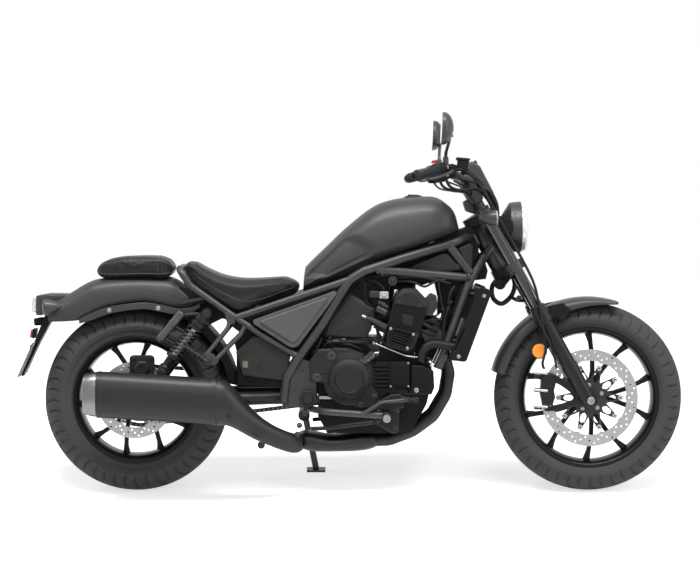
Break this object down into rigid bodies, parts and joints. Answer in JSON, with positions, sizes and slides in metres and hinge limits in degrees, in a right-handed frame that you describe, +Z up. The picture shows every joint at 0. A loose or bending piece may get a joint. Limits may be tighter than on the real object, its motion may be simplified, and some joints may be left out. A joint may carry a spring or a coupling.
{
  "type": "cruiser motorcycle",
  "caption": "Low cruiser motorcycle leaning on its side stand, with steering, turning wheels and a folding stand.",
  "frame": {"origin": "on the ground below the middle of the parked motorcycle's bounding box", "axes": "+X towards the front wheel, +Y to the rider's left, +Z up; the motorcycle leans 9 degrees to its left on its side stand"},
  "size_m": [2.2259, 0.9226, 1.3097],
  "materials": {
    "satin_black_paint": "satin",
    "tank_paint": "matt metallic dark grey",
    "engine_black": "satin",
    "trim_plastic": "matt",
    "seat_cover": "grained",
    "tyre_rubber": "matt",
    "soft_rubber": "matt",
    "wheel_paint": "satin",
    "disc_steel": "brushed",
    "fork_finish": "gloss",
    "exhaust_finish": "satin",
    "end_cap_metal": "satin",
    "radiator_core": "matt black",
    "amber_reflector": "gloss",
    "clear_lens": "clear",
    "red_lens": "gloss",
    "plate_blank": "satin"
  },
  "bodies": {
    "chassis": {"battery_box": "satin_black_paint", "coolant_hose": "soft_rubber", "crankcase": "engine_black", "cylinder_block": "engine_black", "drive_chain": "disc_steel", "exhaust_cover": "exhaust_finish", "exhaust_pipes": "exhaust_finish", "foot_controls": "satin_black_paint", "fuel_cap": "end_cap_metal", "fuel_tank": "tank_paint", "head_cover": "engine_black", "intake_cover": "trim_plastic", "left_engine_cover": "engine_black", "main_frame": "satin_black_paint", "muffler": "exhaust_finish", "muffler_cap": "end_cap_metal", "number_plate": "plate_blank", "passenger_pegs": "satin_black_paint", "pillion_seat": "seat_cover", "plate_bracket": "satin_black_paint", "radiator": "radiator_core", "radiator_shrouds": "trim_plastic", "rear_axle": "disc_steel", "rear_fender": "tank_paint", "rear_frame": "satin_black_paint", "rear_turn_signals": "trim_plastic", "ribbed_boxes": "engine_black", "rider_pegs": "soft_rubber", "rider_seat": "seat_cover", "right_engine_cover": "engine_black", "shocks": "fork_finish", "side_covers": "tank_paint", "swingarm": "satin_black_paint", "tail_lamp": "trim_plastic", "tail_lamp_lens": "red_lens", "throttle_bodies": "engine_black"},
    "fork": {"bar_controls": "trim_plastic", "brake_hose": "soft_rubber", "fork_clamps": "satin_black_paint", "fork_sliders": "fork_finish", "fork_tubes": "fork_finish", "front_axle": "disc_steel", "front_caliper": "fork_finish", "front_fender": "tank_paint", "front_turn_signals": "trim_plastic", "grips": "soft_rubber", "handlebar": "satin_black_paint", "headlight_lens": "clear_lens", "headlight_shell": "tank_paint", "meter": "trim_plastic", "mirrors": "trim_plastic", "side_reflectors": "amber_reflector"},
    "front_wheel": {"front_brake_disc": "disc_steel", "front_tyre": "tyre_rubber", "front_wheel_rim": "wheel_paint"},
    "rear_wheel": {"rear_brake_disc": "disc_steel", "rear_sprocket": "disc_steel", "rear_tyre": "tyre_rubber", "rear_wheel_rim": "wheel_paint"},
    "side_stand": {"side_stand": "satin_black_paint"}
  },
  "joints": [
    {"name": "steering", "type": "hinge", "parent": "chassis", "child": "fork", "pos_m": [0.52339, -0.0679, 0.71474], "axis": [-0.4848, 0.1368, 0.8639], "range_deg": [-35, 35]},
    {"name": "front_wheel_turn", "type": "hinge", "parent": "fork", "child": "front_wheel", "pos_m": [0.807, -0.13148, 0.31329], "axis": [0, 0.9877, -0.1564], "continuous": true},
    {"name": "rear_wheel_turn", "type": "hinge", "parent": "chassis", "child": "rear_wheel", "pos_m": [-0.713, -0.13242, 0.30737], "axis": [0, 0.9877, -0.1564], "continuous": true},
    {"name": "side_stand_fold", "type": "hinge", "parent": "chassis", "child": "side_stand", "pos_m": [-0.15288, 0.0182, 0.22277], "axis": [0, 0.9903, 0.1392], "range_deg": [0, 85]}
  ]
}
